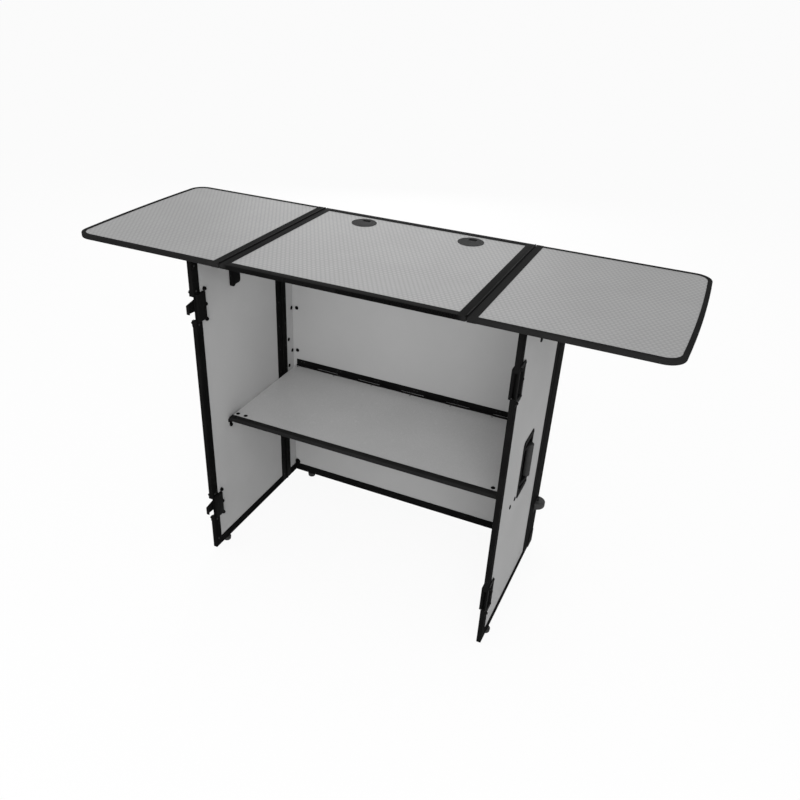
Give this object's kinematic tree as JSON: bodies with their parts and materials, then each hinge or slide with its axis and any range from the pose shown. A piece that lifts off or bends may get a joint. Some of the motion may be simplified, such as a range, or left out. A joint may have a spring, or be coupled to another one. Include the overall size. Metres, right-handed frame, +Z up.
{
  "type": "folding dj booth",
  "caption": "Folding DJ booth: hinged leg panels on an upright tray, a fold-up shelf, a lift-off top with folding wings, twist latches, recessed handle and carrying wheels.",
  "frame": {"origin": "on the floor, in the middle of the standing booth's footprint box", "axes": "+Z up, +X to the user's right along the top, +Y away from the user to the audience"},
  "size_m": [1.5198, 0.5305, 0.9505],
  "materials": {
    "top_laminate": "textured grey laminate",
    "case_laminate": "satin grey laminate",
    "top_profile": "dark anodised extrusion",
    "black_profile": "black anodised extrusion",
    "hinge_steel": "black steel",
    "black_steel": "black powder coat",
    "latch_steel": "black steel",
    "fastener_steel": "black steel heads",
    "rubber": "dark rubber",
    "wheel_plastic": "dark moulded plastic",
    "black_plastic": "black moulded plastic"
  },
  "bodies": {
    "tray": {"audience_panel": "case_laminate", "audience_edging": "black_profile", "left_return_panel": "case_laminate", "right_return_panel": "case_laminate", "left_return_edging": "black_profile", "right_return_edging": "black_profile", "corner_angles": "black_profile", "corner_protectors": "black_steel", "wheel_housings": "black_plastic", "wheel_axles": "hinge_steel", "pull_handle": "black_steel", "corner_bolts": "fastener_steel", "tray_feet": "rubber", "left_hinge_tray_leaf": "hinge_steel", "right_hinge_tray_leaf": "hinge_steel", "leg_hinge_pins": "hinge_steel", "shelf_hinge_tray_leaf": "hinge_steel", "shelf_hinge_pin": "hinge_steel"},
    "left_leg": {"left_leg_panel": "case_laminate", "left_leg_edging": "black_profile", "left_hinge_leg_leaf": "hinge_steel", "left_foot": "rubber", "left_shelf_rest": "black_steel", "left_top_bracket": "black_steel", "left_leg_screws": "fastener_steel", "latch_dishes": "black_steel"},
    "right_leg": {"right_leg_panel": "case_laminate", "right_leg_edging": "black_profile", "right_hinge_leg_leaf": "hinge_steel", "right_foot": "rubber", "right_shelf_rest": "black_steel", "right_top_bracket": "black_steel", "right_leg_screws": "fastener_steel", "keeper_dishes": "black_steel", "handle_dish": "black_steel"},
    "shelf": {"shelf_panel": "case_laminate", "shelf_edging": "black_profile", "shelf_hinge_leaf": "hinge_steel", "shelf_rivets": "fastener_steel"},
    "top": {"centre_panel": "top_laminate", "centre_edging": "top_profile", "port_liners": "black_plastic", "centre_hinge_leaves": "hinge_steel", "seam_hinge_pins": "hinge_steel"},
    "left_wing": {"left_wing_panel": "top_laminate", "left_wing_edging": "top_profile", "left_wing_leaf": "hinge_steel"},
    "right_wing": {"right_wing_panel": "top_laminate", "right_wing_edging": "top_profile", "right_wing_leaf": "hinge_steel"},
    "left_cap": {"left_port_cap": "black_plastic"},
    "right_cap": {"right_port_cap": "black_plastic"},
    "upper_key": {"upper_latch_key": "black_steel"},
    "lower_key": {"lower_latch_key": "black_steel"},
    "upper_tongue": {"upper_latch_tongue": "latch_steel"},
    "lower_tongue": {"lower_latch_tongue": "latch_steel"},
    "bail": {"handle_bail": "black_steel", "handle_grip": "rubber"},
    "upper_wheel_body": {"upper_wheel": "wheel_plastic"},
    "lower_wheel_body": {"lower_wheel": "wheel_plastic"}
  },
  "joints": [
    {"name": "left_leg_fold", "type": "hinge", "parent": "tray", "child": "left_leg", "pos_m": [-0.4161, 0.18, 0.474], "axis": [0, 0, 1], "range_deg": [0, 1.5]},
    {"name": "right_leg_fold", "type": "hinge", "parent": "tray", "child": "right_leg", "pos_m": [0.4161, 0.18, 0.474], "axis": [0, 0, -1], "range_deg": [0, 1.5]},
    {"name": "shelf_fold", "type": "hinge", "parent": "tray", "child": "shelf", "pos_m": [0, 0.2451, 0.4264], "axis": [-1, 0, 0], "range_deg": [0, 90]},
    {"name": "top_lift", "type": "slide", "parent": "tray", "child": "top", "axis": [0, 0, 1], "range_m": [0, 0.4]},
    {"name": "left_wing_fold", "type": "hinge", "parent": "top", "child": "left_wing", "pos_m": [-0.311, 0, 0.948], "axis": [0, 1, 0], "range_deg": [0, 179]},
    {"name": "right_wing_fold", "type": "hinge", "parent": "top", "child": "right_wing", "pos_m": [0.311, 0, 0.948], "axis": [0, -1, 0], "range_deg": [0, 172]},
    {"name": "left_cap_turn", "type": "hinge", "parent": "top", "child": "left_cap", "pos_m": [-0.155, 0.198, 0.945], "axis": [0, 0, 1], "continuous": true},
    {"name": "right_cap_turn", "type": "hinge", "parent": "top", "child": "right_cap", "pos_m": [0.155, 0.198, 0.945], "axis": [0, 0, 1], "continuous": true},
    {"name": "lower_key_turn", "type": "hinge", "parent": "left_leg", "child": "lower_key", "pos_m": [-0.4265, -0.211, 0.16], "axis": [1, 0, 0], "range_deg": [0, 180]},
    {"name": "lower_tongue_draw", "type": "slide", "parent": "left_leg", "child": "lower_tongue", "axis": [0, 1, 0], "range_m": [0, 0.009]},
    {"name": "upper_key_turn", "type": "hinge", "parent": "left_leg", "child": "upper_key", "pos_m": [-0.4265, -0.211, 0.795], "axis": [1, 0, 0], "range_deg": [0, 180]},
    {"name": "upper_tongue_draw", "type": "slide", "parent": "left_leg", "child": "upper_tongue", "axis": [0, 1, 0], "range_m": [0, 0.009]},
    {"name": "bail_swing", "type": "hinge", "parent": "right_leg", "child": "bail", "pos_m": [0.4245, -0.042, 0.464], "axis": [0, 0, -1], "range_deg": [0, 83]},
    {"name": "lower_wheel_spin", "type": "hinge", "parent": "tray", "child": "lower_wheel_body", "pos_m": [0.431, 0.24, 0.167], "axis": [0, 0, 1], "continuous": true},
    {"name": "upper_wheel_spin", "type": "hinge", "parent": "tray", "child": "upper_wheel_body", "pos_m": [0.431, 0.24, 0.826], "axis": [0, 0, 1], "continuous": true}
  ],
  "couplings": [
    {"joint": "lower_key_turn", "follows": "lower_tongue_draw", "rad_per_m": 349},
    {"joint": "upper_key_turn", "follows": "upper_tongue_draw", "rad_per_m": 349}
  ]
}
